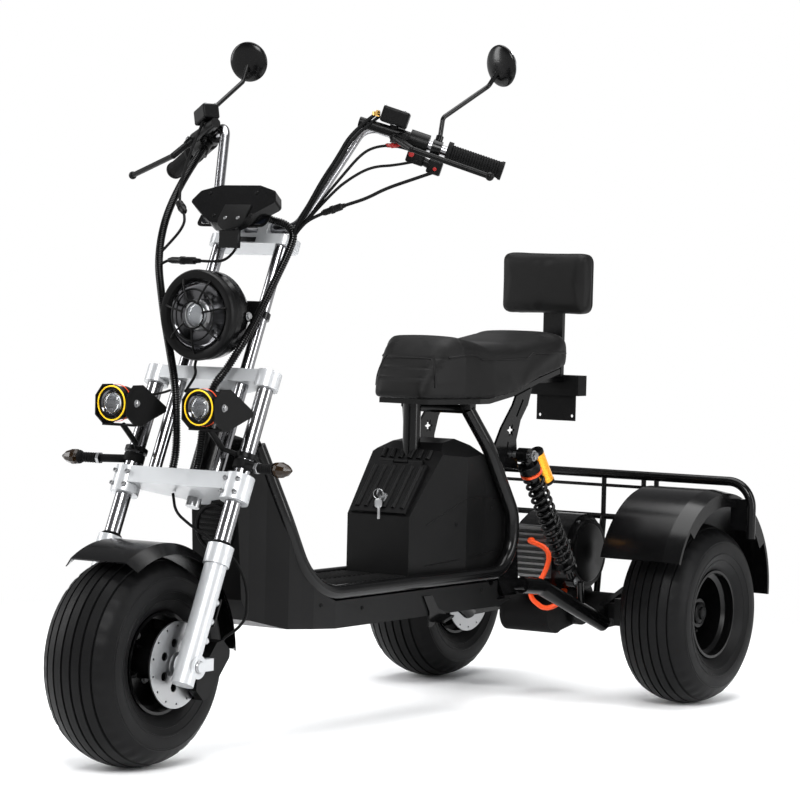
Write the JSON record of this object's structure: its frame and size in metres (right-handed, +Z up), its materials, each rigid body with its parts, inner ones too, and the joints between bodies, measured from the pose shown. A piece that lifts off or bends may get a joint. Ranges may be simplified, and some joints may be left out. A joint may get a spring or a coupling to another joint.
{
  "type": "electric three-wheel scooter",
  "caption": "Electric trike scooter with one steered front wheel, two driven rear wheels, long saddle with backrest and a rear hoop rack.",
  "frame": {"origin": "on the ground under the middle of the bounding box", "axes": "+Z up, the scooter faces -Y, its left side is +X"},
  "size_m": [1.006, 2.1089, 1.5111],
  "materials": {
    "alloy": "satin",
    "alloy_dark": "satin",
    "chrome": "polished",
    "frame_black": "gloss",
    "gold": "satin",
    "leather_black": "satin",
    "orange": "satin",
    "plastic_black": "matte",
    "rubber_black": "matte",
    "steel": "brushed",
    "tyre": "matte"
  },
  "bodies": {
    "chassis": {"axle_housing": "frame_black", "backrest_pad": "leather_black", "backrest_post": "frame_black", "battery_cover": "plastic_black", "belly_pan": "plastic_black", "brake_pedal": "frame_black", "drive_motor": "alloy_dark", "foot_mat": "rubber_black", "heat_sink": "alloy", "leg_shield": "plastic_black", "main_frame": "frame_black", "phase_cables": "orange", "rear_calipers": "plastic_black", "rear_fenders": "plastic_black", "rear_rack": "frame_black", "seat_cushion": "leather_black", "seat_pan": "frame_black", "shock_dampers": "alloy_dark", "shock_pins": "steel", "shock_reservoirs": "gold", "shock_springs": "frame_black", "side_plates": "frame_black", "swing_arm": "frame_black", "tail_lamp": "plastic_black"},
    "battery_lid": {"battery_lid": "plastic_black"},
    "steering": {"lower_yoke": "alloy", "mid_yoke": "alloy", "top_plate": "alloy", "steering_stem": "steel", "fork_tubes": "chrome", "fork_sliders": "alloy", "front_fender": "plastic_black", "front_caliper": "plastic_black", "handlebar": "chrome", "grips": "rubber_black", "controls_left": "plastic_black", "controls_right": "plastic_black", "mirrors": "frame_black", "display": "plastic_black", "headlight": "frame_black", "headlight_bracket": "frame_black", "fog_lights": "frame_black", "indicators": "plastic_black", "brake_hose": "rubber_black", "wiring_looms": "plastic_black"},
    "front_wheel": {"front_tyre": "tyre", "front_rim": "frame_black", "front_disc": "steel"},
    "rear_wheel_left": {"rear_tyre_left": "tyre", "rear_rim_left": "frame_black", "rear_disc_left": "steel"},
    "rear_wheel_right": {"rear_tyre_right": "tyre", "rear_rim_right": "frame_black", "rear_disc_right": "steel"}
  },
  "joints": [
    {"name": "steering", "type": "hinge", "parent": "chassis", "child": "steering", "pos_m": [0, -0.62377, 0.615], "axis": [0, 0.4051, 0.9143], "range_deg": [-30, 30]},
    {"name": "front_wheel_spin", "type": "hinge", "parent": "steering", "child": "front_wheel", "pos_m": [0, -0.85, 0.215], "axis": [1, 0, 0], "continuous": true},
    {"name": "rear_wheel_left_spin", "type": "hinge", "parent": "chassis", "child": "rear_wheel_left", "pos_m": [0.359, 0.806, 0.215], "axis": [1, 0, 0], "continuous": true},
    {"name": "rear_wheel_right_spin", "type": "hinge", "parent": "chassis", "child": "rear_wheel_right", "pos_m": [-0.359, 0.806, 0.215], "axis": [1, 0, 0], "continuous": true},
    {"name": "battery_lid_hinge", "type": "hinge", "parent": "chassis", "child": "battery_lid", "pos_m": [0, 0.10306, 0.5806], "axis": [-1, 0, 0], "range_deg": [0, 70]}
  ]
}
